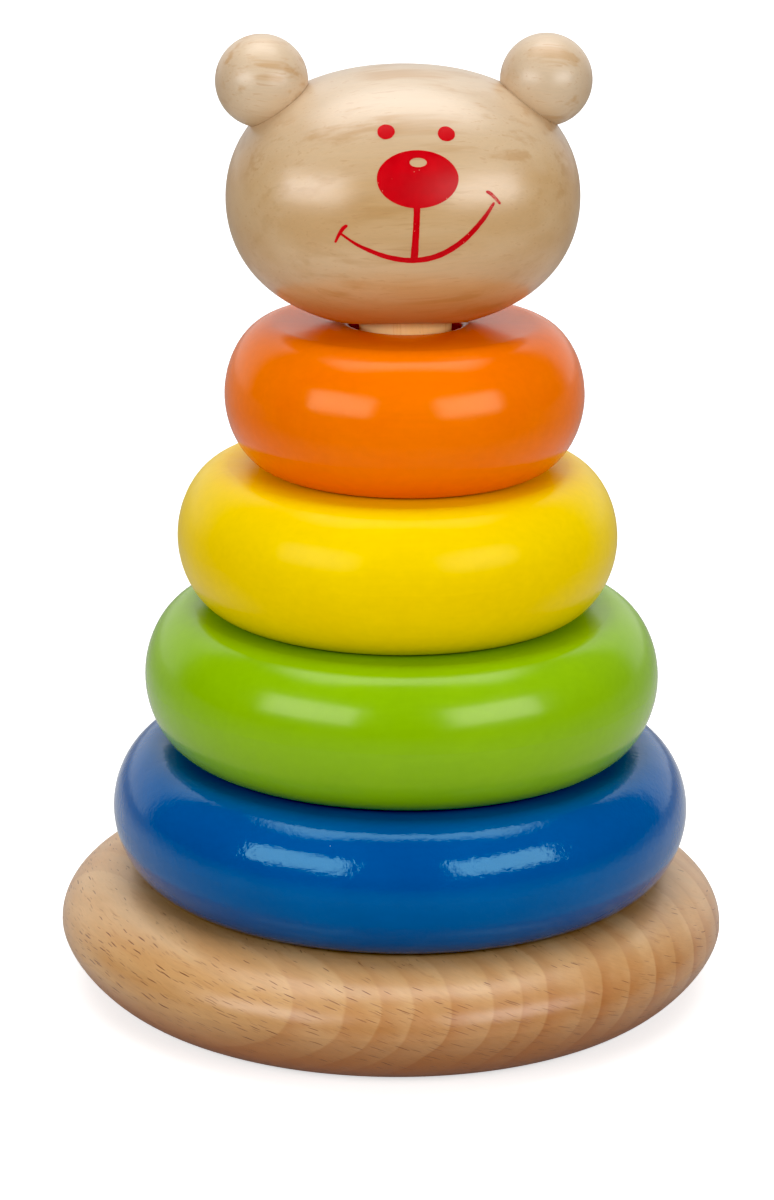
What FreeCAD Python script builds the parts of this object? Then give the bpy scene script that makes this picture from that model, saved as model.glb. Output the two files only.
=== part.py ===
import FreeCAD, Part
import math
import os
import sys
import Sketcher

# Wooden stacking tower: a round base with a fixed dowel post, four lacquered
# rings that drop over the post, and a bear's head that caps it.
# Frame: origin at the centre of the base's flat underside, +Z up along the
# post, the face of the bear looks along -Y. All lengths are in millimetres.

V = FreeCAD.Vector
doc = FreeCAD.newDocument("stacking_ring_toy")

# ---------------------------------------------------------------- dimensions
DIMS = [
    # alias, value, what it is
    ("base_radius", 66.5, "outer radius of the turned base"),
    ("base_height", 22.0, "thickness of the base"),
    ("base_widest", 11.6, "height at which the base is widest"),
    ("base_top_run", 14.2, "radial run of the upper rim curve"),
    ("base_low_run", 10.6, "radial run of the lower rim curve"),
    ("base_top_weight", 0.700, "fullness of the upper rim conic"),
    ("base_low_weight", 0.318, "fullness of the lower rim conic"),
    ("post_radius", 9.0, "radius of the dowel"),
    ("post_socket_depth", 14.0, "depth of the glued socket in the base"),
    ("post_top", 160.0, "height of the dowel's top above the ground"),
    ("post_shift", 1.6, "how far the dowel stands off the base's centre"),
    ("post_top_round", 2.5, "rounding of the dowel's top edge"),
    ("post_foot_chamfer", 1.0, "lead-in chamfer of the glued end"),
    ("glue_gap", 0.05, "radial glue gap round dowels in their sockets"),
    ("blue_thick", 26.5, "thickness of the blue ring"),
    ("ring_thick", 28.5, "thickness of the other rings"),
    ("ring_run", 9.8, "radial run of the rim curve"),
    ("ring_weight", 0.656, "fullness of the rim conic"),
    ("ring_bore", 10.8, "radius of the hole in every ring"),
    ("ring_bore_round", 1.5, "rounding of the hole's edges"),
    ("blue_radius", 57.5, "outer radius of the blue ring"),
    ("green_radius", 51.0, "outer radius of the green ring"),
    ("yellow_radius", 43.3, "outer radius of the yellow ring"),
    ("orange_radius", 35.1, "outer radius of the orange ring"),
    ("blue_shift", 1.6, "sideways place of the blue ring, which fits loosely"),
    ("green_shift", 1.6, "sideways place of the green ring"),
    ("yellow_shift", 0.5, "sideways place of the yellow ring"),
    ("orange_shift", 1.6, "sideways place of the orange ring"),
    ("head_half_width", 34.1, "half length of the head along X"),
    ("head_radius", 25.4, "radius of the head about its X axis"),
    ("head_weight", 0.828, "fullness of the head's outline conic"),
    ("head_level", 158.4, "height of the head's centre"),
    ("head_shift", 0.9, "sideways place of the head, which fits loosely"),
    ("head_bore", 10.0, "radius of the blind hole in the head"),
    ("head_mouth", 12.6, "radius of the countersink at its reference level"),
    ("head_mouth_level", 22.1, "depth of that level below the centre"),
    ("ear_radius", 8.85, "radius of the ear balls"),
    ("ear_x", 27.2, "sideways place of an ear's centre"),
    ("ear_z", 22.5, "height of an ear's centre above the head's centre"),
    ("ear_tilt", 35.4, "lean of the ear's axis from the vertical, degrees"),
    ("ear_cut", 5.8, "distance from the ear's centre to its flat seat"),
    ("seat_gap", 0.12, "radial gap round the ear in its shallow seat"),
    ("peg_radius", 2.0, "radius of the ear's dowel"),
    ("peg_in_head", 7.0, "length of the dowel inside the head"),
    ("peg_in_ear", 6.0, "length of the dowel inside the ear"),
    ("peg_end_gap", 0.6, "glue space beyond each end of the dowel"),
]
sheet = doc.addObject("Spreadsheet::Sheet", "dims")
sheet.Label = "dims"
dim = {}
for row, (alias, value, note) in enumerate(DIMS, start=1):
    sheet.set("A%d" % row, alias)
    sheet.set("B%d" % row, str(value))
    sheet.set("C%d" % row, note)
    sheet.setAlias("B%d" % row, alias)
    dim[alias] = value
doc.recompute()


# ------------------------------------------------------------------- helpers
def origin_plane(body, role):
    return [f for f in body.Origin.OriginFeatures if f.Role == role][0]


def new_body(name):
    body = doc.addObject("PartDesign::Body", name)
    body.Label = name
    doc.recompute()
    return body


def new_sketch(body, name, role):
    sk = body.newObject("Sketcher::SketchObject", name)
    sk.AttachmentSupport = [(origin_plane(body, role), "")]
    sk.MapMode = "FlatFace"
    doc.recompute()
    return sk


def line(sk, a, b):
    return sk.addGeometry(Part.LineSegment(V(a[0], a[1], 0), V(b[0], b[1], 0)), False)


def conic(sk, a, pole, b, weight, weight_expr):
    """A rational quadratic arc from a to b whose tangents meet at pole."""
    curve = Part.BSplineCurve()
    curve.buildFromPolesMultsKnots(
        [V(a[0], a[1], 0), V(pole[0], pole[1], 0), V(b[0], b[1], 0)],
        [3, 3], [0, 1], False, 2, [1, weight, 1])
    g = sk.addGeometry(curve, False)
    sk.exposeInternalGeometry(g)
    first = g + 1
    k = sk.addConstraint(Sketcher.Constraint("Weight", first + 1, weight))
    sk.setExpression("Constraints[%d]" % k, weight_expr)
    return g, first + 1


def same(sk, g1, p1, g2, p2):
    sk.addConstraint(Sketcher.Constraint("Coincident", g1, p1, g2, p2))


def along_x(sk, g, p, value, expr):
    k = sk.addConstraint(Sketcher.Constraint("DistanceX", -1, 1, g, p, value))
    sk.setExpression("Constraints[%d]" % k, expr)


def along_y(sk, g, p, value, expr):
    k = sk.addConstraint(Sketcher.Constraint("DistanceY", -1, 1, g, p, value))
    sk.setExpression("Constraints[%d]" % k, expr)


def circle(sk, radius, expr):
    g = sk.addGeometry(Part.Circle(V(0, 0, 0), V(0, 0, 1), radius), False)
    sk.addConstraint(Sketcher.Constraint("Coincident", g, 3, -1, 1))
    k = sk.addConstraint(Sketcher.Constraint("Radius", g, radius))
    sk.setExpression("Constraints[%d]" % k, expr)
    return g


def revolve(body, name, sk, axis):
    rev = body.newObject("PartDesign::Revolution", name)
    rev.Profile = sk
    rev.ReferenceAxis = (sk, [axis])
    rev.Angle = 360.0
    sk.Visibility = False
    doc.recompute()
    return rev


def volume(body):
    doc.recompute()
    return body.Shape.Volume


def must_drop(body, before, least, what):
    """A cut has to take away at least this much, in cubic millimetres."""
    after = volume(body)
    if before - after < least:
        raise RuntimeError("%s removed only %.2f mm3" % (what, before - after))
    return after


def round_edges(body, name, picks, size, expr, kind="PartDesign::Fillet"):
    base = body.Tip
    names = []
    for i, e in enumerate(base.Shape.Edges, start=1):
        if picks(e):
            names.append("Edge%d" % i)
    if not names:
        raise RuntimeError("no edges for %s" % name)
    f = body.newObject(kind, name)
    f.Base = (base, names)
    if kind == "PartDesign::Fillet":
        f.Radius = size
        f.setExpression("Radius", expr)
    else:
        f.Size = size
        f.setExpression("Size", expr)
    doc.recompute()
    return f


def is_circle(e, radius, z=None):
    c = e.Curve
    if not isinstance(c, Part.Circle) or abs(c.Radius - radius) > 1e-4:
        return False
    return z is None or abs(c.Center.z - z) < 1e-4


subparts = []

# ---------------------------------------------------------------------- base
# Turned disc, flat above and below, with a full rounded upper rim and a
# flatter, undercut lower rim.
body = new_body("base_disc")
sk = new_sketch(body, "base_profile", "XZ_Plane")
R, T, W = dim["base_radius"], dim["base_height"], dim["base_widest"]
UR, LR = dim["base_top_run"], dim["base_low_run"]
g_low = line(sk, (0, 0), (R - LR, 0))
g_lc, p_lc = conic(sk, (R - LR, 0), (R, 0), (R, W), dim["base_low_weight"], "dims.base_low_weight")
g_uc, p_uc = conic(sk, (R, W), (R, T), (R - UR, T), dim["base_top_weight"], "dims.base_top_weight")
g_top = line(sk, (R - UR, T), (0, T))
g_axis = line(sk, (0, T), (0, 0))
same(sk, g_low, 2, g_lc, 1)
same(sk, g_lc, 2, g_uc, 1)
same(sk, g_uc, 2, g_top, 1)
same(sk, g_top, 2, g_axis, 1)
same(sk, g_axis, 2, g_low, 1)
same(sk, g_low, 1, -1, 1)
sk.addConstraint(Sketcher.Constraint("Horizontal", g_low))
sk.addConstraint(Sketcher.Constraint("Horizontal", g_top))
sk.addConstraint(Sketcher.Constraint("Vertical", g_axis))
along_x(sk, g_lc, 1, R - LR, "dims.base_radius - dims.base_low_run")
along_x(sk, g_uc, 1, R, "dims.base_radius")
along_y(sk, g_uc, 1, W, "dims.base_widest")
along_x(sk, g_top, 1, R - UR, "dims.base_radius - dims.base_top_run")
along_y(sk, g_top, 1, T, "dims.base_height")
along_x(sk, p_lc, 3, R, "dims.base_radius")
sk.addConstraint(Sketcher.Constraint("DistanceY", -1, 1, p_lc, 3, 0.0))
along_x(sk, p_uc, 3, R, "dims.base_radius")
along_y(sk, p_uc, 3, T, "dims.base_height")
revolve(body, "base_turning", sk, "V_Axis")
before = volume(body)
sk = new_sketch(body, "post_socket_sketch", "XY_Plane")
sk.setExpression("AttachmentOffset.Base.x", "dims.post_shift")
sk.setExpression("AttachmentOffset.Base.z", "dims.base_height")
circle(sk, dim["post_radius"] + dim["glue_gap"], "dims.post_radius + dims.glue_gap")
cut = body.newObject("PartDesign::Pocket", "post_socket")
cut.Profile = sk
cut.Length = dim["post_socket_depth"]
cut.setExpression("Length", "dims.post_socket_depth")
sk.Visibility = False
must_drop(body, before, 3500, "post_socket")
subparts.append(body)

# ---------------------------------------------------------------------- post
# Plain dowel glued into the base, with a rounded top.
body = new_body("post")
sk = new_sketch(body, "post_section", "XY_Plane")
circle(sk, dim["post_radius"], "dims.post_radius")
pad = body.newObject("PartDesign::Pad", "post_length")
pad.Profile = sk
pad.Length = dim["post_top"] - dim["base_height"] + dim["post_socket_depth"]
pad.setExpression("Length", "dims.post_top - dims.base_height + dims.post_socket_depth")
sk.Visibility = False
doc.recompute()
length = pad.Shape.BoundBox.ZMax
round_edges(body, "post_top_rounding",
            lambda e: is_circle(e, dim["post_radius"], length),
            dim["post_top_round"], "dims.post_top_round")
round_edges(body, "post_foot_bevel",
            lambda e: is_circle(e, dim["post_radius"], 0.0),
            dim["post_foot_chamfer"], "dims.post_foot_chamfer", "PartDesign::Chamfer")
body.setExpression("Placement.Base.x", "dims.post_shift")
body.setExpression("Placement.Base.z", "dims.base_height - dims.post_socket_depth")
subparts.append(body)


# --------------------------------------------------------------------- rings
def make_ring(name, radius_alias, thick_alias, shift_alias, below):
    """A flat-faced ring with a full half-round rim and a plain bore."""
    body = new_body(name)
    sk = new_sketch(body, name + "_profile", "XZ_Plane")
    r, t, run, bore = dim[radius_alias], dim[thick_alias], dim["ring_run"], dim["ring_bore"]
    w = dim["ring_weight"]
    rad, thick = "dims." + radius_alias, "dims." + thick_alias
    g0 = line(sk, (bore, 0), (r - run, 0))
    g1, p1 = conic(sk, (r - run, 0), (r, 0), (r, t / 2), w, "dims.ring_weight")
    g2, p2 = conic(sk, (r, t / 2), (r, t), (r - run, t), w, "dims.ring_weight")
    g3 = line(sk, (r - run, t), (bore, t))
    g4 = line(sk, (bore, t), (bore, 0))
    same(sk, g0, 2, g1, 1)
    same(sk, g1, 2, g2, 1)
    same(sk, g2, 2, g3, 1)
    same(sk, g3, 2, g4, 1)
    same(sk, g4, 2, g0, 1)
    sk.addConstraint(Sketcher.Constraint("PointOnObject", g0, 1, -1))
    sk.addConstraint(Sketcher.Constraint("Horizontal", g0))
    sk.addConstraint(Sketcher.Constraint("Horizontal", g3))
    sk.addConstraint(Sketcher.Constraint("Vertical", g4))
    along_x(sk, g0, 1, bore, "dims.ring_bore")
    along_x(sk, g1, 1, r - run, rad + " - dims.ring_run")
    along_x(sk, g2, 1, r, rad)
    along_y(sk, g2, 1, t / 2, thick + " / 2")
    along_x(sk, g3, 1, r - run, rad + " - dims.ring_run")
    along_y(sk, g3, 1, t, thick)
    along_x(sk, p1, 3, r, rad)
    sk.addConstraint(Sketcher.Constraint("DistanceY", -1, 1, p1, 3, 0.0))
    along_x(sk, p2, 3, r, rad)
    along_y(sk, p2, 3, t, thick)
    revolve(body, name + "_turning", sk, "V_Axis")
    round_edges(body, name + "_bore_rounding",
                lambda e: is_circle(e, bore),
                dim["ring_bore_round"], "dims.ring_bore_round")
    body.setExpression("Placement.Base.x", "dims." + shift_alias)
    body.setExpression("Placement.Base.z", "dims.base_height" + below)
    subparts.append(body)
    return body


make_ring("ring_blue", "blue_radius", "blue_thick", "blue_shift", "")
make_ring("ring_green", "green_radius", "ring_thick", "green_shift", " + dims.blue_thick")
make_ring("ring_yellow", "yellow_radius", "ring_thick", "yellow_shift", " + dims.blue_thick + dims.ring_thick")
make_ring("ring_orange", "orange_radius", "ring_thick", "orange_shift", " + dims.blue_thick + 2 * dims.ring_thick")

# ---------------------------------------------------------------------- head
# Wide turned ball: its lathe axis is X, so every cross-section across X is a
# circle. A blind hole with a countersunk mouth takes the top of the post, and
# two shallow flat seats with dowel holes take the ears.
body = new_body("head")
sk = new_sketch(body, "head_profile", "XZ_Plane")
A, C, w = dim["head_half_width"], dim["head_radius"], dim["head_weight"]
g0, p0 = conic(sk, (-A, 0), (-A, C), (0, C), w, "dims.head_weight")
g1, p1 = conic(sk, (0, C), (A, C), (A, 0), w, "dims.head_weight")
g2 = line(sk, (A, 0), (-A, 0))
same(sk, g0, 2, g1, 1)
same(sk, g1, 2, g2, 1)
same(sk, g2, 2, g0, 1)
sk.addConstraint(Sketcher.Constraint("PointOnObject", g2, 1, -1))
sk.addConstraint(Sketcher.Constraint("PointOnObject", g2, 2, -1))
sk.addConstraint(Sketcher.Constraint("PointOnObject", g0, 2, -2))
along_x(sk, g1, 2, A, "dims.head_half_width")
k = sk.addConstraint(Sketcher.Constraint("DistanceX", g0, 1, -1, 1, A))
sk.setExpression("Constraints[%d]" % k, "dims.head_half_width")
along_y(sk, g1, 1, C, "dims.head_radius")
along_x(sk, p1, 3, A, "dims.head_half_width")
along_y(sk, p1, 3, C, "dims.head_radius")
k = sk.addConstraint(Sketcher.Constraint("DistanceX", p0, 3, -1, 1, A))
sk.setExpression("Constraints[%d]" % k, "dims.head_half_width")
along_y(sk, p0, 3, C, "dims.head_radius")
revolve(body, "head_turning", sk, "H_Axis")
before = volume(body)

# blind hole and countersink, turned about the post's axis
sk = new_sketch(body, "head_bore_profile", "XZ_Plane")
B = dim["head_bore"]
top = dim["post_top"] - dim["head_level"]
m, ml = dim["head_mouth"], dim["head_mouth_level"]
low = -(C + 1.5)
z_in = -(ml - (m - B))          # where the 45 degree cone meets the bore
r_out = m + (-ml - low)         # cone radius below the head
g0 = line(sk, (0, top), (B, top))
g1 = line(sk, (B, top), (B, z_in))
g2 = line(sk, (B, z_in), (r_out, low))
g3 = line(sk, (r_out, low), (0, low))
g4 = line(sk, (0, low), (0, top))
for a, b in ((g0, g1), (g1, g2), (g2, g3), (g3, g4), (g4, g0)):
    same(sk, a, 2, b, 1)
sk.addConstraint(Sketcher.Constraint("Horizontal", g0))
sk.addConstraint(Sketcher.Constraint("Vertical", g1))
sk.addConstraint(Sketcher.Constraint("Horizontal", g3))
sk.addConstraint(Sketcher.Constraint("PointOnObject", g4, 1, -2))
sk.addConstraint(Sketcher.Constraint("PointOnObject", g4, 2, -2))
along_y(sk, g0, 1, top, "dims.post_top - dims.head_level")
along_x(sk, g0, 2, B, "dims.head_bore")
k = sk.addConstraint(Sketcher.Constraint("DistanceY", g2, 1, -1, 1, -z_in))
sk.setExpression("Constraints[%d]" % k, "dims.head_mouth_level - dims.head_mouth + dims.head_bore")
k = sk.addConstraint(Sketcher.Constraint("DistanceY", g2, 2, -1, 1, -low))
sk.setExpression("Constraints[%d]" % k, "dims.head_radius + 1.5")
along_x(sk, g2, 2, r_out, "dims.head_mouth - dims.head_mouth_level + dims.head_radius + 1.5")
bore = body.newObject("PartDesign::Groove", "head_bore")
bore.Profile = sk
bore.ReferenceAxis = (sk, ["V_Axis"])
bore.Angle = 360.0
sk.Visibility = False
before = must_drop(body, before, 6500, "head_bore")

EAR_AXIS_X = "sin(dims.ear_tilt * 1 deg)"
EAR_AXIS_Z = "cos(dims.ear_tilt * 1 deg)"


def tilted_sketch(body, name, side):
    """A sketch on an ear's seat plane; its normal points out of the head."""
    sk = new_sketch(body, name, "XY_Plane")
    sk.AttachmentOffset = FreeCAD.Placement(V(0, 0, 0), FreeCAD.Rotation(V(0, 1, 0), side * dim["ear_tilt"]))
    sk.setExpression("AttachmentOffset.Base.x", "%d * (dims.ear_x - dims.ear_cut * %s)" % (side, EAR_AXIS_X))
    sk.setExpression("AttachmentOffset.Base.z", "dims.ear_z - dims.ear_cut * %s" % EAR_AXIS_Z)
    doc.recompute()
    return sk


for side, word in ((-1, "left"), (1, "right")):
    sk = tilted_sketch(body, "ear_seat_%s_sketch" % word, side)
    circle(sk, (dim["ear_radius"] ** 2 - dim["ear_cut"] ** 2) ** 0.5 + dim["seat_gap"],
           "sqrt(dims.ear_radius * dims.ear_radius - dims.ear_cut * dims.ear_cut) + dims.seat_gap")
    seat = body.newObject("PartDesign::Pocket", "ear_seat_%s" % word)
    seat.Profile = sk
    seat.Length = 12.0
    seat.Reversed = True
    sk.Visibility = False
    before = must_drop(body, before, 40, "ear seat " + word)
    sk = tilted_sketch(body, "peg_hole_%s_sketch" % word, side)
    circle(sk, dim["peg_radius"] + dim["glue_gap"], "dims.peg_radius + dims.glue_gap")
    hole = body.newObject("PartDesign::Pocket", "peg_hole_%s" % word)
    hole.Profile = sk
    hole.Length = dim["peg_in_head"] + dim["peg_end_gap"]
    hole.setExpression("Length", "dims.peg_in_head + dims.peg_end_gap")
    sk.Visibility = False
    before = must_drop(body, before, 70, "peg hole " + word)
body.setExpression("Placement.Base.x", "dims.head_shift")
body.setExpression("Placement.Base.z", "dims.head_level")
subparts.append(body)


# ---------------------------------------------------------------------- ears
def place_on_seat(body, side, back):
    """Stand a body's own +Z along the ear's axis, its origin on the seat."""
    body.Placement = FreeCAD.Placement(V(0, 0, 0), FreeCAD.Rotation(V(0, 1, 0), side * dim["ear_tilt"]))
    body.setExpression(
        "Placement.Base.x",
        "dims.head_shift + %d * (dims.ear_x - (dims.ear_cut + %s) * %s)" % (side, back, EAR_AXIS_X))
    body.setExpression(
        "Placement.Base.z",
        "dims.head_level + dims.ear_z - (dims.ear_cut + %s) * %s" % (back, EAR_AXIS_Z))
    doc.recompute()


for side, word in ((-1, "left"), (1, "right")):
    # ball with one side cut flat where it is glued on
    body = new_body("ear_" + word)
    sk = new_sketch(body, "ear_%s_profile" % word, "XZ_Plane")
    er, ec = dim["ear_radius"], dim["ear_cut"]
    rim = (er * er - ec * ec) ** 0.5
    g0 = line(sk, (0, ec + er), (0, 0))
    g1 = line(sk, (0, 0), (rim, 0))
    a0 = math.atan2(-ec, rim)
    arc = Part.ArcOfCircle(Part.Circle(V(0, ec, 0), V(0, 0, 1), er), a0, math.pi / 2)
    g2 = sk.addGeometry(arc, False)
    same(sk, g0, 2, g1, 1)
    same(sk, g1, 2, g2, 1)
    same(sk, g2, 2, g0, 1)
    same(sk, g0, 2, -1, 1)
    sk.addConstraint(Sketcher.Constraint("PointOnObject", g0, 1, -2))
    sk.addConstraint(Sketcher.Constraint("PointOnObject", g2, 3, -2))
    sk.addConstraint(Sketcher.Constraint("Horizontal", g1))
    along_y(sk, g2, 3, ec, "dims.ear_cut")
    k = sk.addConstraint(Sketcher.Constraint("Radius", g2, er))
    sk.setExpression("Constraints[%d]" % k, "dims.ear_radius")
    revolve(body, "ear_%s_turning" % word, sk, "V_Axis")
    before = volume(body)
    sk = new_sketch(body, "ear_%s_peg_sketch" % word, "XY_Plane")
    circle(sk, dim["peg_radius"] + dim["glue_gap"], "dims.peg_radius + dims.glue_gap")
    hole = body.newObject("PartDesign::Pocket", "ear_%s_peg_hole" % word)
    hole.Profile = sk
    hole.Length = dim["peg_in_ear"] + dim["peg_end_gap"]
    hole.setExpression("Length", "dims.peg_in_ear + dims.peg_end_gap")
    hole.Reversed = True
    sk.Visibility = False
    must_drop(body, before, 60, "peg hole in ear " + word)
    place_on_seat(body, side, "0")
    subparts.append(body)

for side, word in ((-1, "left"), (1, "right")):
    # short dowel, half in the head and half in the ear
    body = new_body("ear_peg_" + word)
    sk = new_sketch(body, "ear_peg_%s_section" % word, "XY_Plane")
    circle(sk, dim["peg_radius"], "dims.peg_radius")
    pad = body.newObject("PartDesign::Pad", "ear_peg_%s_length" % word)
    pad.Profile = sk
    pad.Length = dim["peg_in_head"] + dim["peg_in_ear"]
    pad.setExpression("Length", "dims.peg_in_head + dims.peg_in_ear")
    sk.Visibility = False
    doc.recompute()
    place_on_seat(body, side, "dims.peg_in_head")
    subparts.append(body)

# -------------------------------------------------------------- check, write
doc.recompute()
bad = []
for obj in doc.Objects:
    if "Invalid" in obj.State or "Error" in obj.State:
        bad.append("%s %s" % (obj.Name, obj.State))
for obj in doc.Objects:
    if obj.TypeId == "Sketcher::SketchObject" and not obj.FullyConstrained:
        print("note: sketch not fully constrained:", obj.Name)
for body in subparts:
    s = body.Shape
    if s.isNull() or not s.isValid():
        bad.append("%s shape" % body.Label)
    elif len(s.Solids) != 1:
        bad.append("%s has %d solids" % (body.Label, len(s.Solids)))
if bad:
    print("FAILED:", bad)
    sys.exit(1)

os.makedirs("parts", exist_ok=True)
for body in subparts:
    s = body.Shape
    s.exportStep("parts/%s.step" % body.Label)
    b = s.BoundBox
    print("%-14s vol %9.1f mm3  x %7.2f..%7.2f  y %7.2f..%7.2f  z %7.2f..%7.2f" % (
        body.Label, s.Volume, b.XMin, b.XMax, b.YMin, b.YMax, b.ZMin, b.ZMax))
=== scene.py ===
import math

import bmesh
import bpy
import numpy as np
from mathutils import Matrix, Vector
from mathutils.bvhtree import BVHTree

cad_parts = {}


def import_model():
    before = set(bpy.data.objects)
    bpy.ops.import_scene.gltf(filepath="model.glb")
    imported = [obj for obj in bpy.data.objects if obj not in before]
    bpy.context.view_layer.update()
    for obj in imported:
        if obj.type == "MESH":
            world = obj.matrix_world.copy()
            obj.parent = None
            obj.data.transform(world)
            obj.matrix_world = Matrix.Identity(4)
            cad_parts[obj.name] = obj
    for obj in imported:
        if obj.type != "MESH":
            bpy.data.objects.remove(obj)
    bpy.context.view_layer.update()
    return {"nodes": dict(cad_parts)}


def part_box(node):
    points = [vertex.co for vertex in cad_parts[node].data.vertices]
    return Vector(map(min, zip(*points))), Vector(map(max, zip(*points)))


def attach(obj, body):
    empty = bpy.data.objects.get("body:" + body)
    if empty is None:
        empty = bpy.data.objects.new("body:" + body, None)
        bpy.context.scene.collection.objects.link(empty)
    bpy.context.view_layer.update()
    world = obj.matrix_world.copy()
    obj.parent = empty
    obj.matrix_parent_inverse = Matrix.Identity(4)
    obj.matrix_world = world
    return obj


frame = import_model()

MM = 0.001


def lin(r, g, b):
    """An sRGB colour, 0 to 255, as linear RGBA."""
    def f(c):
        c /= 255.0
        return c / 12.92 if c <= 0.04045 else ((c + 0.055) / 1.055) ** 2.4
    return (f(r), f(g), f(b), 1.0)


# ---------------------------------------------------------------- node helpers
class Graph:
    def __init__(self, name):
        self.mat = bpy.data.materials.new(name)
        self.mat.use_nodes = True
        self.tree = self.mat.node_tree
        self.tree.nodes.clear()
        self.mm = self.vmath("MULTIPLY", self.node("ShaderNodeTexCoord").outputs["Object"], (1000, 1000, 1000))

    def node(self, kind, **props):
        n = self.tree.nodes.new(kind)
        for k, v in props.items():
            setattr(n, k, v)
        return n

    def put(self, socket, value):
        if isinstance(value, bpy.types.NodeSocket):
            self.tree.links.new(value, socket)
        elif value is not None:
            socket.default_value = value

    def math(self, op, a, b=None, c=None, clamp=False):
        n = self.node("ShaderNodeMath", operation=op, use_clamp=clamp)
        for s, v in zip(n.inputs, (a, b, c)):
            self.put(s, v)
        return n.outputs[0]

    def vmath(self, op, a, b=None, scale=None):
        n = self.node("ShaderNodeVectorMath", operation=op)
        self.put(n.inputs[0], a)
        self.put(n.inputs[1], b)
        if scale is not None:
            self.put(n.inputs["Scale"], scale)
        return n.outputs["Value"] if op in ("DOT_PRODUCT", "LENGTH", "DISTANCE") else n.outputs["Vector"]

    def xyz(self, x, y, z):
        n = self.node("ShaderNodeCombineXYZ")
        for s, v in zip(n.inputs, (x, y, z)):
            self.put(s, v)
        return n.outputs[0]

    def noise(self, vec, scale, detail=2.0, rough=0.5, distort=0.0, out="Fac"):
        n = self.node("ShaderNodeTexNoise", noise_dimensions="3D")
        self.put(n.inputs["Vector"], vec)
        n.inputs["Scale"].default_value = scale
        n.inputs["Detail"].default_value = detail
        n.inputs["Roughness"].default_value = rough
        n.inputs["Distortion"].default_value = distort
        return n.outputs[out]

    def cells(self, vec, scale=1.0, rand=1.0):
        n = self.node("ShaderNodeTexVoronoi", voronoi_dimensions="3D", feature="F1")
        self.put(n.inputs["Vector"], vec)
        n.inputs["Scale"].default_value = scale
        n.inputs["Randomness"].default_value = rand
        sep = self.node("ShaderNodeSeparateColor")
        self.put(sep.inputs[0], n.outputs["Color"])
        return n.outputs["Distance"], sep.outputs[0], sep.outputs[1]

    def span(self, v, a, b, c=0.0, d=1.0, smooth=True):
        """v from a..b to c..d, clamped."""
        n = self.node("ShaderNodeMapRange", interpolation_type="SMOOTHSTEP" if smooth else "LINEAR", clamp=True)
        for s, x in zip(n.inputs, (v, a, b, c, d)):
            self.put(s, x)
        return n.outputs[0]

    def ramp(self, fac, stops, interpolation="LINEAR"):
        n = self.node("ShaderNodeValToRGB")
        cr = n.color_ramp
        cr.interpolation = interpolation
        while len(cr.elements) > 1:
            cr.elements.remove(cr.elements[-1])
        for i, (pos, col) in enumerate(stops):
            e = cr.elements[0] if i == 0 else cr.elements.new(pos)
            e.position = pos
            e.color = col if hasattr(col, "__len__") else (col, col, col, 1)
        self.put(n.inputs[0], fac)
        return n.outputs[0]

    def mix(self, fac, a, b, blend="MIX"):
        n = self.node("ShaderNodeMix", data_type="RGBA", blend_type=blend, clamp_factor=True)
        self.put(n.inputs[0], fac)
        self.put(n.inputs[6], a)
        self.put(n.inputs[7], b)
        return n.outputs[2]

    def scale_colour(self, col, k):
        """Colour times a grey factor."""
        n = self.node("ShaderNodeVectorMath", operation="SCALE")
        self.put(n.inputs[0], col)
        self.put(n.inputs["Scale"], k)
        return n.outputs["Vector"]

    def bump(self, height, depth_mm, strength=1.0, normal=None):
        n = self.node("ShaderNodeBump")
        n.inputs["Strength"].default_value = strength
        n.inputs["Distance"].default_value = depth_mm * MM
        self.put(n.inputs["Height"], height)
        self.put(n.inputs["Normal"], normal)
        return n.outputs[0]

    def surface(self, colour, rough, normal, coat_normal=None, **fixed):
        b = self.node("ShaderNodeBsdfPrincipled")
        self.put(b.inputs["Base Color"], colour)
        self.put(b.inputs["Roughness"], rough)
        self.put(b.inputs["Normal"], normal)
        if coat_normal is not None:
            self.put(b.inputs["Coat Normal"], coat_normal)
        for k, v in fixed.items():
            b.inputs[k.replace("_", " ")].default_value = v
        out = self.node("ShaderNodeOutputMaterial")
        self.tree.links.new(b.outputs[0], out.inputs[0])
        return self.mat


def noise1(g, vec, scale, amount, detail=2.0):
    """1 plus or minus amount."""
    return g.span(g.noise(vec, scale, detail), 0.25, 0.75, 1 - amount, 1 + amount, smooth=False)


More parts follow.
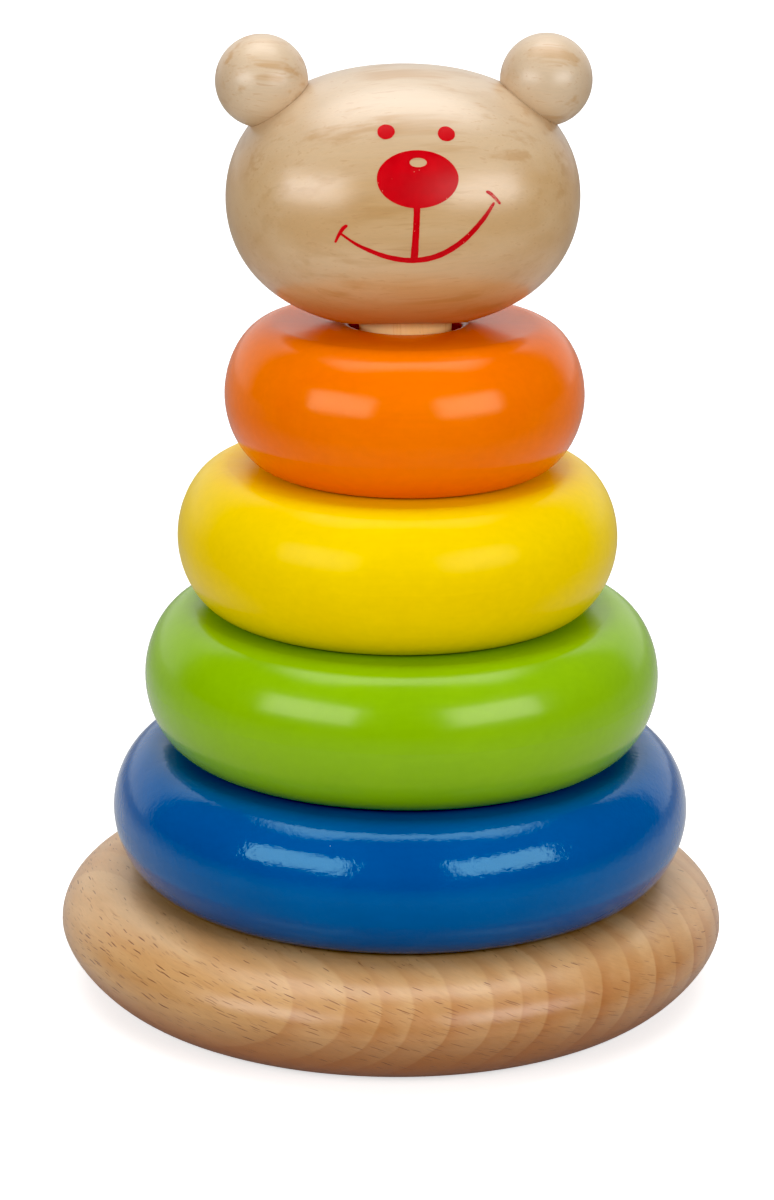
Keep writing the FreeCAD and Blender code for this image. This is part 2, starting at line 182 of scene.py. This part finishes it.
# ---------------------------------------------------------------- lacquer
def lacquer(name, rgb, deep, gloss, tint, level, seed, ragged, wavy, speck, speck_amount):
    """Sprayed gloss paint on turned wood: slight pooling of the pigment, orange peel, turning lines, dust specks."""
    g = Graph(name)
    p = g.vmath("ADD", g.mm, (seed * 37.1, seed * 11.7, seed * 5.3))
    cloud = g.noise(p, 0.045, 3.0)
    col = g.mix(g.span(cloud, 0.35, 0.7, 0.0, 0.75), rgb, deep)
    col = g.scale_colour(col, noise1(g, p, 0.6, 0.018, 3.0))
    # the wood below shows as very faint streaks
    streak = g.noise(g.vmath("MULTIPLY", p, (0.10, 0.9, 0.9)), 1.0, 3.0)
    col = g.scale_colour(col, g.span(streak, 0.3, 0.7, 0.985, 1.015, smooth=False))
    # dust under the lacquer
    d, r1, r2 = g.cells(p, 1 / 7.5)
    radius = g.math("MULTIPLY_ADD", r2, 0.010, 0.008)
    dot = g.math("MULTIPLY", g.math("LESS_THAN", d, radius), g.math("GREATER_THAN", r1, 1 - speck_amount))
    col = g.mix(g.math("MULTIPLY", dot, 0.7), col, speck)
    nib = g.math("MULTIPLY", g.span(d, 0.035, 0.0, 0.0, 1.0), g.math("GREATER_THAN", r1, 1 - speck_amount))
    # normals: nibs, orange peel, slow waves of the turned wood
    n0 = g.bump(nib, 0.03)
    n1 = g.bump(g.noise(p, 0.11, 1.0), wavy, normal=n0)
    n2 = g.bump(g.noise(p, 0.85, 3.0, 0.6), ragged, normal=n1)
    rough = g.span(g.noise(p, 0.25, 3.0), 0.3, 0.7, gloss * 0.88, gloss * 1.12, smooth=False)
    return g.surface(col, rough, n2, n2, Specular_Tint=tint, IOR=1.5, Specular_IOR_Level=level,
                     Coat_Weight=0.06, Coat_Roughness=gloss * 0.6, Coat_IOR=1.5)


# ---------------------------------------------------------------- beech base
LAYER_N = Vector((0.7534, 0.4594, -0.4705)).normalized()
RAY_T = Vector((0.34, 0.12, 0.93)).normalized()      # the thin way of the rays
GRAIN = RAY_T.cross(LAYER_N).normalized()
LAYERS = [-53.3, -47.2, -42.9, -38.4, -32.8, -26.1, -21.1, -16.5, -9.4, -5.6, 0.8, 7.7, 14.0,
          20.6, 26.4, 33.0, 38.2, 45.1, 51.7, 57.0, 63.5]
DEPTH = [.55, .5, .6, .5, .75, .6, .7, .9, .45, 1.0, .7, .8, .6, .8, .5, .9, .6, .7, .5, .8, .6]


def layer_ramp(g, u, lo, hi):
    """Growth layers: each begins dark and pales until the next one."""
    inside = [(b, k) for b, k in zip(LAYERS, DEPTH) if lo < b < hi]
    stops = [(0.0, 0.25)]
    for b, k in inside:
        t = (b - lo) / (hi - lo)
        w = 0.22 / (hi - lo)
        stops += [(t - w, 0.0), (t + w * 0.35, k)]
        stops += [(t + 2.6 / (hi - lo), k * 0.42)]
    stops = sorted(stops)[:32]
    return g.ramp(g.span(u, lo, hi, 0.0, 1.0, smooth=False), stops)


def beech():
    g = Graph("beech_oiled_wood")
    p = g.mm
    slow = g.vmath("SCALE", g.vmath("SUBTRACT", g.noise(p, 0.018, 1.0, out="Color"), (0.5, 0.5, 0.5)), scale=2.2)
    fine = g.vmath("SCALE", g.vmath("SUBTRACT", g.noise(p, 0.16, 2.0, out="Color"), (0.5, 0.5, 0.5)), scale=0.9)
    q = g.vmath("ADD", g.vmath("ADD", p, slow), fine)
    u = g.vmath("DOT_PRODUCT", q, tuple(LAYER_N))
    a = layer_ramp(g, u, -70.0, -19.0)
    b = layer_ramp(g, u, -19.0, 24.0)
    c = layer_ramp(g, u, 24.0, 72.0)
    band = g.mix(g.math("GREATER_THAN", u, -19.0), a, b)
    band = g.mix(g.math("GREATER_THAN", u, 24.0), band, c)
    # v runs along the grain, u out through the layers, t across the rays
    v = g.vmath("DOT_PRODUCT", q, tuple(GRAIN))
    t = g.vmath("DOT_PRODUCT", q, tuple(RAY_T))
    z = g.vmath("DOT_PRODUCT", p, (0, 0, 1))

    def stretched(kv, ku, kt, detail, rough=0.5):
        return g.noise(g.xyz(g.math("MULTIPLY", v, kv), g.math("MULTIPLY", u, ku), g.math("MULTIPLY", t, kt)), 1.0, detail, rough)
    fibre = stretched(0.10, 0.24, 1.6, 4.0, 0.6)
    broad = stretched(0.02, 0.12, 0.16, 3.0)
    hair = stretched(0.4, 0.8, 5.0, 2.0)
    light, mid, dark = lin(208, 167, 116), lin(194, 145, 88), lin(165, 101, 44)
    col = g.mix(g.span(broad, 0.35, 0.68, 0.0, 0.8), light, mid)
    nrm = g.node("ShaderNodeNewGeometry").outputs["Normal"]
    # painted sheen: the dark growth layers are painted fainter on faces turned up, as sheen washes them out
    upward_sheen_fade = g.span(g.vmath("DOT_PRODUCT", nrm, (0, 0, 1)), 0.35, 0.95, 0.92, 0.40)
    col = g.mix(g.math("MULTIPLY", band, upward_sheen_fade), col, dark)
    # painted shade: the rim low down is painted darker and more orange
    col = g.mix(g.span(z, 13.0, 1.5, 0.0, 0.82), col, lin(190, 102, 26))
    # end grain soaks up more oil
    end = g.math("ABSOLUTE", g.vmath("DOT_PRODUCT", nrm, tuple(GRAIN)))
    col = g.mix(g.span(end, 0.30, 0.92, 0.0, 0.46), col, dark)
    col = g.scale_colour(col, g.span(fibre, 0.28, 0.72, 0.93, 1.06, smooth=False))
    col = g.scale_colour(col, g.span(hair, 0.28, 0.72, 0.965, 1.03, smooth=False))
    # fine darker threads
    col = g.mix(g.math("MULTIPLY", g.span(fibre, 0.56, 0.72), 0.34), col, lin(152, 98, 50))
    # rays: thin brown ribbons, cut by the surface into short dashes, at three sizes
    flat = g.span(g.math("ABSOLUTE", g.vmath("DOT_PRODUCT", nrm, tuple(RAY_T))), 0.5, 0.9, 1.0, 0.6)
    marks = None
    for k, (length, height, width, r, keep, strength) in enumerate([(8.0, 9.0, 0.52, 0.215, 0.18, 1.0), (6.5, 7.0, 0.44, 0.21, 0.22, 0.85), (5.2, 6.0, 0.36, 0.20, 0.25, 0.6)]):
        vec = g.xyz(g.math("MULTIPLY_ADD", v, 1 / length, k * 7.3), g.math("MULTIPLY", u, 1 / height),
                    g.math("MULTIPLY", t, 1 / width))
        d, r1, r2 = g.cells(vec)
        m = g.math("MULTIPLY", g.span(g.math("DIVIDE", d, flat), r, r * 0.75, 0.0, 1.0), g.math("GREATER_THAN", r1, keep))
        m = g.math("MULTIPLY", m, g.math("MULTIPLY_ADD", r2, 0.7 * strength, 0.3 * strength))
        marks = m if marks is None else g.math("MAXIMUM", marks, m)
    marks = g.math("MULTIPLY", marks, g.span(end, 0.6, 0.97, 0.95, 0.55))
    col = g.mix(marks, col, lin(112, 56, 24))
    height = g.math("SUBTRACT", g.math("MULTIPLY", fibre, 0.5), marks)
    n = g.bump(height, 0.028)
    n = g.bump(g.noise(p, 0.09, 1.0), 0.12, normal=n)
    rough = g.math("ADD", g.span(fibre, 0.3, 0.7, 0.50, 0.60, smooth=False), g.math("MULTIPLY", marks, 0.15))
    return g.surface(col, rough, n, n, Coat_Weight=1.0, Coat_Roughness=0.30, Coat_IOR=1.55,
                     Specular_IOR_Level=0.12)


# ---------------------------------------------------------------- pale wood (head, ears, post)
def pale_wood(name, along, seed, tone_and_painted_light=1.0, coat=1.0, coat_rough=0.31, coat_ior=1.55, streaks=1.0, pale_top_and_sheen=False):
    """Fine-grained white wood. along is the grain's direction."""
    g = Graph(name)
    p = g.vmath("ADD", g.mm, (seed * 17.3, seed * 29.1, seed * 7.7))
    along = Vector(along).normalized()
    side = along.orthogonal().normalized()
    third = along.cross(side)
    bend = g.vmath("SCALE", g.vmath("SUBTRACT", g.noise(p, 0.03, 2.0, out="Color"), (0.5, 0.5, 0.5)), scale=4.0)
    q = g.vmath("ADD", p, bend)
    v = g.vmath("DOT_PRODUCT", q, tuple(along))
    s = g.vmath("DOT_PRODUCT", q, tuple(side))
    t = g.vmath("DOT_PRODUCT", q, tuple(third))

    def stretched(kv, ks, detail=3.0, rough=0.55):
        return g.noise(g.xyz(g.math("MULTIPLY", v, kv), g.math("MULTIPLY", s, ks), g.math("MULTIPLY", t, ks)), 1.0, detail, rough)

    broad = stretched(0.012, 0.11)
    mid = stretched(0.030, 0.34)
    fibre = stretched(0.09, 1.7)
    hair = stretched(0.4, 5.5)
    pale, body, ochre = lin(217, 182, 134), lin(206, 164, 108), lin(188, 138, 72)
    col = g.mix(g.span(broad, 0.32, 0.68), pale, body)
    if pale_top_and_sheen:
        # the top is paler: partly whiter sapwood, partly painted sheen from the light above
        z = g.vmath("DOT_PRODUCT", g.mm, (0, 0, 1))
        ragged = g.math("MULTIPLY_ADD", g.math("SUBTRACT", mid, 0.5), 9.0, z)
        col = g.mix(g.span(ragged, 163.0, 181.0, 0.0, 0.95, smooth=False), col, lin(214, 190, 160))
    streak = g.math("MULTIPLY", g.span(mid, 0.50, 0.68), g.span(g.noise(p, 0.045, 1.0), 0.32, 0.56))
    col = g.mix(g.math("MULTIPLY", streak, 0.52 * streaks), col, ochre)
    line = g.math("MULTIPLY", g.span(fibre, 0.57, 0.71), 0.30 * streaks)
    col = g.mix(line, col, lin(170, 118, 64))
    # this factor scales the wood's colour; the post's large value is painted light for the shade under the head
    col = g.scale_colour(col, g.span(fibre, 0.28, 0.72, 0.955 * tone_and_painted_light, 1.03 * tone_and_painted_light, smooth=False))
    col = g.scale_colour(col, g.span(hair, 0.28, 0.72, 0.985, 1.015, smooth=False))
    # end grain a little deeper
    nrm = g.node("ShaderNodeNewGeometry").outputs["Normal"]
    end = g.math("ABSOLUTE", g.vmath("DOT_PRODUCT", nrm, tuple(along)))
    col = g.mix(g.span(end, 0.5, 1.0, 0.0, 0.22), col, lin(180, 134, 84))
    # pores: tiny brown pin marks
    d, r1, r2 = g.cells(g.xyz(g.math("MULTIPLY", v, 1 / 3.6), g.math("MULTIPLY", s, 1 / 0.9), g.math("MULTIPLY", t, 1 / 0.9)))
    pore = g.math("MULTIPLY", g.span(d, 0.085, 0.03), g.math("GREATER_THAN", r1, 0.62))
    col = g.mix(g.math("MULTIPLY", pore, 0.32), col, lin(150, 104, 62))
    n = g.bump(g.math("SUBTRACT", g.math("MULTIPLY", fibre, 0.6), g.math("MULTIPLY", pore, 0.7)), 0.012)
    n = g.bump(g.noise(p, 0.8, 3.0), 0.006, normal=n)
    rough = g.span(fibre, 0.3, 0.7, 0.46, 0.56, smooth=False)
    return g.surface(col, rough, n, n, Coat_Weight=coat, Coat_Roughness=coat_rough, Coat_IOR=coat_ior,
                     Specular_IOR_Level=0.12)


def ink():
    """Screen-printed red, a little thin and pin-holed at its edges."""
    g = Graph("face_ink_red")
    p = g.mm
    col = g.mix(g.span(g.noise(p, 0.35, 3.0), 0.3, 0.7), lin(208, 10, 22), lin(197, 8, 20))
    d, r1, r2 = g.cells(p, 1 / 0.85)
    hole = g.math("MULTIPLY", g.math("LESS_THAN", d, 0.10), g.math("GREATER_THAN", r1, 0.86))
    # the print is worn where the right end of the smile turns up
    x = g.vmath("DOT_PRODUCT", p, (1, 0, 0))
    z = g.vmath("DOT_PRODUCT", p, (0, 0, 1))
    worn = g.math("MULTIPLY", g.span(x, 14.2, 17.0), g.span(z, 158.5, 161.5))
    scrape = g.math("MULTIPLY", worn, g.span(g.noise(p, 2.6, 3.0), 0.40, 0.62))
    col = g.mix(g.math("MAXIMUM", g.math("MULTIPLY", hole, 0.6), g.math("MULTIPLY", scrape, 0.55)), col, lin(224, 170, 140))
    n = g.bump(g.noise(p, 0.9, 3.0, 0.6), 0.010)
    return g.surface(col, g.span(g.noise(p, 0.6, 2.0), 0.3, 0.7, 0.36, 0.48, smooth=False), n, n,
                     Coat_Weight=0.35, Coat_Roughness=0.34, Coat_IOR=1.5, Specular_IOR_Level=0.1)


# ---------------------------------------------------------------- the face print
HEAD_C = (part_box("head")[0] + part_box("head")[1]) / 2 / MM      # mm
HALF_W, RADIUS, WEIGHT = 34.1, 25.4, 0.828


def head_profile():
    """Radius of the turned head at x, from its conic."""
    t = np.linspace(0, 1, 400)
    w = np.stack([(1 - t) ** 2, 2 * WEIGHT * t * (1 - t), t ** 2], 1)
    pts = np.array([(-HALF_W, 0.0), (-HALF_W, RADIUS), (0.0, RADIUS)])
    c = (w @ pts) / w.sum(1)[:, None]
    return c[:, 0], c[:, 1]


PX, PR = head_profile()


def radius_at(x):
    return float(np.interp(-abs(x), PX, PR))


def on_head(x, phi):
    """Point and outward normal on the head, mm, for x and the angle above the front."""
    r = radius_at(x)
    slope = (radius_at(x + 0.05) - radius_at(x - 0.05)) / 0.1
    radial = Vector((0, -math.cos(phi), math.sin(phi)))
    n = (radial - Vector((slope, 0, 0))).normalized()
    return Vector((HEAD_AXIS[0] + x, HEAD_AXIS[1], HEAD_AXIS[2])) + radial * r, n


HEAD_AXIS = (0.9, 0.0, 158.4)


def thin_solid(name, verts, faces, tree, lift):
    """A closed skin of ink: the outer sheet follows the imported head, lift mm above it."""
    bm = bmesh.new()
    top, under = [], []
    for x, phi in verts:
        q, n = on_head(x, phi)
        hit, _, _, _ = tree.ray_cast((q + n * 1.5) * MM, -n, 4 * MM)
        base = hit / MM if hit is not None else q
        top.append(bm.verts.new((base + n * lift) * MM))
        under.append(bm.verts.new((base - n * 0.04) * MM))
    edges = {}
    for f in faces:
        bm.faces.new([top[i] for i in f])
        bm.faces.new([under[i] for i in reversed(f)])
        for i, j in zip(f, f[1:] + f[:1]):
            edges[(i, j)] = True
    for i, j in edges:
        if (j, i) not in edges:
            bm.faces.new([top[j], top[i], under[i], under[j]])
    bmesh.ops.recalc_face_normals(bm, faces=bm.faces)
    mesh = bpy.data.meshes.new(name)
    bm.to_mesh(mesh)
    bm.free()
    for poly in mesh.polygons:
        poly.use_smooth = True
    mesh.set_sharp_from_angle(angle=math.radians(40))
    return mesh


def disc(cx, cphi, hw, hphi, rings=8, segs=72, wobble=0.0, seed=0.0, hole=None):
    """Grid over an ellipse, or over the ring between it and a smaller one."""
    verts, faces = [], []
    for k in range(rings + 1):
        t = k / rings
        for i in range(segs):
            a = 2 * math.pi * i / segs
            w = 1 + wobble * (math.sin(3 * a + seed) * 0.6 + math.sin(7 * a + 2.1 * seed) * 0.4)
            ox, op = cx + hw * w * math.cos(a), cphi + hphi * w * math.sin(a)
            if hole:
                ix, ip = hole[0] + hole[2] * math.cos(a), hole[1] + hole[3] * math.sin(a)
            else:
                ix, ip = cx, cphi
            if not hole and k == 0:
                continue
            verts.append((ix + (ox - ix) * t, ip + (op - ip) * t))
    start = 0
    if not hole:
        verts.insert(0, (cx, cphi))
        start = 1
    rows = rings + 1 if hole else rings
    for k in range(rows - 1):
        for i in range(segs):
            a, b = start + k * segs + i, start + k * segs + (i + 1) % segs
            faces.append([a, b, b + segs, a + segs])
    if not hole:
        for i in range(segs):
            faces.append([0, 1 + (i + 1) % segs, 1 + i])
    return verts, faces


def stroke(points, widths, step=0.22, across=4, round_ends=(True, True), wobble=0.0):
    """Grid along a smooth brush line. points are (x mm, degrees); widths are mm at each point."""
    pts = [Vector((x, math.radians(d) * RADIUS)) for x, d in points]
    ext = [pts[0] * 2 - pts[1]] + pts + [pts[-1] * 2 - pts[-2]]
    line, wid = [], []
    for i in range(len(pts) - 1):
        p0, p1, p2, p3 = ext[i:i + 4]
        n = max(2, int((p2 - p1).length / step))
        for k in range(n + (1 if i == len(pts) - 2 else 0)):
            t = k / n
            line.append(0.5 * (2 * p1 + (p2 - p0) * t + (2 * p0 - 5 * p1 + 4 * p2 - p3) * t * t + (3 * p1 - p0 - 3 * p2 + p3) * t ** 3))
            wid.append(widths[i] + (widths[i + 1] - widths[i]) * t)
    length = [0.0]
    for a, b in zip(line, line[1:]):
        length.append(length[-1] + (b - a).length)
    total = length[-1]
    verts, faces = [], []
    for i, q in enumerate(line):
        a, b = line[max(0, i - 1)], line[min(len(line) - 1, i + 1)]
        t = (b - a).normalized()
        n = Vector((-t.y, t.x))
        w = wid[i] * (1 + wobble * math.sin(length[i] * 2.3) + wobble * 0.6 * math.sin(length[i] * 5.1 + 1))
        for on, d in ((round_ends[0], length[i]), (round_ends[1], total - length[i])):
            r = wid[i] / 2
            if on and d < r:
                w *= math.sqrt(max(0.04, 1 - ((r - d) / r) ** 2))
        for k in range(across + 1):
            o = q + n * (w * (k / across - 0.5))
            verts.append((o.x, o.y / RADIUS))
    c = across + 1
    for i in range(len(line) - 1):
        for k in range(across):
            faces.append([i * c + k, i * c + k + 1, (i + 1) * c + k + 1, (i + 1) * c + k])
    return verts, faces


def face_print(material):
    head = frame["nodes"]["head"]
    tree = BVHTree.FromPolygons([v.co.copy() for v in head.data.vertices], [tuple(p.vertices) for p in head.data.polygons])
    rad = math.radians
    parts = {
        "print_eye_left": (disc(-5.11, rad(39.5), 1.62, 1.58 / RADIUS, 5, 48, 0.02, 1.0), 0.05),
        "print_eye_right": (disc(6.14, rad(38.5), 1.62, 1.58 / RADIUS, 5, 48, 0.02, 2.3), 0.05),
        "print_nose": (disc(0.5, rad(18.4), 7.62, rad(12.3), 16, 120, 0.004, 0.4, hole=(0.63, rad(25.3), 1.62, 0.9 / RADIUS)), 0.052),
        "print_stem": (stroke([(0.30, 8.0), (0.22, 0.0), (0.08, -8.0), (-0.05, -16.4)], [1.25, 1.2, 1.28, 1.45], round_ends=(False, False), wobble=0.02), 0.044),
        "print_smile": (stroke([(-13.79, -5.5), (-11.6, -9.0), (-9.33, -11.7), (-4.85, -15.4), (-0.03, -16.75), (4.69, -14.6), (9.14, -8.4), (12.7, 0.3), (14.99, 8.2)],
                               [0.45, 0.55, 0.75, 1.0, 1.1, 1.15, 1.1, 0.9, 0.5], wobble=0.03), 0.058),
        "print_tick_left": (stroke([(-12.55, -1.4), (-13.35, -3.2), (-14.15, -6.6), (-14.75, -10.2)], [0.62, 0.75, 0.6, 0.42]), 0.048),
        "print_tick_right": (stroke([(13.35, 13.2), (14.3, 12.0), (15.3, 9.6), (16.2, 7.1)], [0.62, 0.7, 0.6, 0.5]), 0.048),
    }
    for name, ((verts, faces), lift) in parts.items():
        mesh = thin_solid(name, verts, faces, tree, lift)
        ob = bpy.data.objects.new(name, mesh)
        bpy.context.scene.collection.objects.link(ob)
        mesh.materials.append(material)
        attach(ob, "head")


# ---------------------------------------------------------------- materials on the CAD nodes
MATS = {
    "ring_blue": lacquer("lacquer_blue", lin(0, 84, 156), lin(0, 78, 149), 0.05, (0.34, 0.90, 1, 1), 0.5, 1, 0.062, 0.12, lin(190, 205, 220), 0.22),
    "ring_green": lacquer("lacquer_green", lin(142, 188, 22), lin(135, 181, 24), 0.20, (1, 0.95, 0.75, 1), 0.36, 2, 0.005, 0.05, lin(90, 120, 30), 0.10),
    "ring_yellow": lacquer("lacquer_yellow", lin(246, 211, 0), lin(242, 205, 0), 0.32, (1, 0.97, 0.35, 1), 0.23, 3, 0.008, 0.05, lin(250, 235, 150), 0.08),
    "ring_orange": lacquer("lacquer_orange", lin(249, 121, 13), lin(245, 113, 7), 0.20, (1, 0.84, 0.52, 1), 0.32, 4, 0.012, 0.06, lin(250, 190, 150), 0.14),
    "base_disc": beech(),
    # the post's colour is raised 1.6 times: painted light that brightens it in the head's shade
    "post": pale_wood("pale_wood_post", (0, 0, 1), 5, 1.6, coat=0.25, coat_rough=0.4),
    "head": pale_wood("pale_wood_head", (1, 0.02, 0.03), 1, 0.98, coat_ior=1.82, pale_top_and_sheen=True),
    "ear_left": pale_wood("pale_wood_ear_left", (1, 0.1, -0.05), 2, 1.07, coat_rough=0.33, pale_top_and_sheen=True),
    "ear_right": pale_wood("pale_wood_ear_right", (1, -0.1, -0.12), 3, 1.03, coat_rough=0.33, pale_top_and_sheen=True),
}
peg = pale_wood("pale_wood_peg", (0.58, 0, 0.81), 6, 1.0, coat=0.1, coat_rough=0.4)
MATS["ear_peg_left"] = MATS["ear_peg_right"] = peg
for node, mat in MATS.items():
    o = frame["nodes"][node]
    if not o.material_slots:
        o.data.materials.append(mat)
    for s in o.material_slots:
        s.material = mat

face_print(ink())


# ---------------------------------------------------------------- floor, light, camera
def floor():
    bm = bmesh.new()
    bmesh.ops.create_circle(bm, cap_ends=True, segments=128, radius=6.0)
    mesh = bpy.data.meshes.new("floor")
    bm.to_mesh(mesh)
    bm.free()
    ob = bpy.data.objects.new("floor", mesh)
    ob.location.z = -0.0003
    bpy.context.scene.collection.objects.link(ob)
    mat = bpy.data.materials.new("floor_pale")
    mat.use_nodes = True
    b = mat.node_tree.nodes["Principled BSDF"]
    nt = mat.node_tree
    lp = nt.nodes.new("ShaderNodeLightPath").outputs["Is Camera Ray"]

    def seen(socket, direct, bounced):
        m = nt.nodes.new("ShaderNodeMix")
        m.data_type = "RGBA" if hasattr(direct, "__len__") else "FLOAT"
        a, b2, o = (6, 7, 2) if m.data_type == "RGBA" else (2, 3, 0)
        m.inputs[a].default_value, m.inputs[b2].default_value = bounced, direct
        nt.links.new(lp, m.inputs[0])
        nt.links.new(m.outputs[o], socket)
        return m.inputs[a]
    bounce = seen(b.inputs["Base Color"], (0.70, 0.70, 0.70, 1), (0.42, 0.42, 0.42, 1))
    pos = nt.nodes.new("ShaderNodeTexCoord").outputs["Object"]
    length = nt.nodes.new("ShaderNodeVectorMath")
    length.operation = "LENGTH"
    nt.links.new(pos, length.inputs[0])
    fall = nt.nodes.new("ShaderNodeMapRange")
    fall.interpolation_type = "SMOOTHSTEP"
    for i, v in zip((1, 2, 3, 4), (0.11, 0.42, 0.44, 0.15)):
        fall.inputs[i].default_value = v
    nt.links.new(length.outputs["Value"], fall.inputs[0])
    nt.links.new(fall.outputs[0], bounce)
    b.inputs["Roughness"].default_value = 0.9
    b.inputs["Specular IOR Level"].default_value = 0.0
    b.inputs["Emission Color"].default_value = (1, 1, 1, 1)
    # reflections see the floor a little brighter than it lights the object
    glow = seen(b.inputs["Emission Strength"], 0.62, 0.0)
    far = nt.nodes.new("ShaderNodeMapRange")
    far.interpolation_type = "SMOOTHSTEP"
    for i, v in zip((1, 2, 3, 4), (0.07, 0.17, 0.03, 0.19)):
        far.inputs[i].default_value = v
    nt.links.new(length.outputs["Value"], far.inputs[0])
    gl = nt.nodes.new("ShaderNodeMath")
    gl.operation = "MULTIPLY"
    nt.links.new(far.outputs[0], gl.inputs[1])
    nt.links.new(nt.nodes["Light Path"].outputs["Is Glossy Ray"], gl.inputs[0])
    nt.links.new(gl.outputs[0], glow)
    mesh.materials.append(mat)


def softbox(name, azimuth, elevation, distance, width, height, radiance, aim=(0, 0, 0.09)):
    """azimuth is measured from the front, positive to the right."""
    a, e = math.radians(azimuth), math.radians(elevation)
    d = Vector((math.sin(a) * math.cos(e), -math.cos(a) * math.cos(e), math.sin(e)))
    light = bpy.data.lights.new(name, "AREA")
    light.shape = "RECTANGLE"
    light.size, light.size_y = width, height
    light.energy = radiance * math.pi * width * height
    light.color = (1.0, 0.995, 0.985)
    ob = bpy.data.objects.new(name, light)
    ob.location = Vector(aim) + d * distance
    ob.rotation_euler = (-d).to_track_quat("-Z", "Y").to_euler()
    bpy.context.scene.collection.objects.link(ob)


def world():
    w = bpy.data.worlds.new("studio")
    bpy.context.scene.world = w
    w.use_nodes = True
    t = w.node_tree
    t.nodes.clear()
    tc = t.nodes.new("ShaderNodeTexCoord")
    sep = t.nodes.new("ShaderNodeSeparateXYZ")
    t.links.new(tc.outputs["Generated"], sep.inputs[0])

    def span(src, a, b, c, d):
        n = t.nodes.new("ShaderNodeMapRange")
        n.interpolation_type = "SMOOTHSTEP"
        n.inputs[1].default_value, n.inputs[2].default_value = a, b
        n.inputs[3].default_value, n.inputs[4].default_value = c, d
        t.links.new(src, n.inputs[0])
        return n.outputs[0]
    def times(op, x, y):
        n = t.nodes.new("ShaderNodeMath")
        n.operation = op
        for i, v in enumerate((x, y)):
            if isinstance(v, float):
                n.inputs[i].default_value = v
            else:
                t.links.new(v, n.inputs[i])
        return n.outputs[0]
    # a soft light overhead, a pale wall behind, and a dark room at the sides
    over = times("MULTIPLY", span(sep.outputs[2], 0.82, 0.93, 0.0, 3.45), span(sep.outputs[1], -0.30, -0.08, 0.0, 1.0))
    wall = times("MULTIPLY", span(sep.outputs[2], 0.45, 0.75, 0.72, 1.3), span(sep.outputs[1], 0.46, 0.64, 0.0, 1.0))
    room = span(sep.outputs[0], -0.1, 0.7, 0.06, 0.14)
    fill = times("MULTIPLY", t.nodes.new("ShaderNodeLightPath").outputs["Is Diffuse Ray"], 0.17)
    back = times("ADD", times("ADD", over, wall), times("ADD", room, fill))
    cam = t.nodes.new("ShaderNodeLightPath").outputs["Is Camera Ray"]
    mix = t.nodes.new("ShaderNodeMix")
    mix.data_type = "FLOAT"
    t.links.new(cam, mix.inputs[0])
    t.links.new(back, mix.inputs[2])
    mix.inputs[3].default_value = 1.0
    bg = t.nodes.new("ShaderNodeBackground")
    bg.inputs[0].default_value = (1, 1, 1, 1)
    t.links.new(mix.outputs[0], bg.inputs[1])
    out = t.nodes.new("ShaderNodeOutputWorld")
    t.links.new(bg.outputs[0], out.inputs[0])


floor()
softbox("softbox_left", -46.6, 21.0, 0.60, 0.444, 0.225, 4.95)
softbox("softbox_right", 37.3, 21.0, 0.60, 0.435, 0.225, 4.95)
world()

E, A, ROLL, DIST = math.radians(16.9195), math.radians(-5.0777), math.radians(0.5624), 0.760418
fw = Vector((-math.sin(A) * math.cos(E), math.cos(A) * math.cos(E), -math.sin(E)))
right = Vector((math.cos(A), math.sin(A), 0))
up = right.cross(fw)
target = right * -0.0014333 + Vector((0, 0, 0.0774786))
cam = bpy.data.cameras.new("camera")
cam.sensor_fit = "AUTO"
cam.sensor_width = 36.0
cam.lens = 115.162
cam.clip_start = 0.02
cam.clip_end = 50.0
cam_ob = bpy.data.objects.new("camera", cam)
rot = Matrix((right, up, -fw)).transposed()
rot = rot @ Matrix.Rotation(ROLL, 3, "Z")
cam_ob.matrix_world = Matrix.Translation(target - fw * DIST) @ rot.to_4x4()
bpy.context.scene.collection.objects.link(cam_ob)
bpy.context.scene.camera = cam_ob
view = bpy.context.scene.view_settings
view.view_transform = "Standard"
view.use_curve_mapping = True
view.curve_mapping.black_level = (0.012, 0.012, 0.012)
view.curve_mapping.white_level = (1.0, 1.0, 1.0)
view.curve_mapping.update()
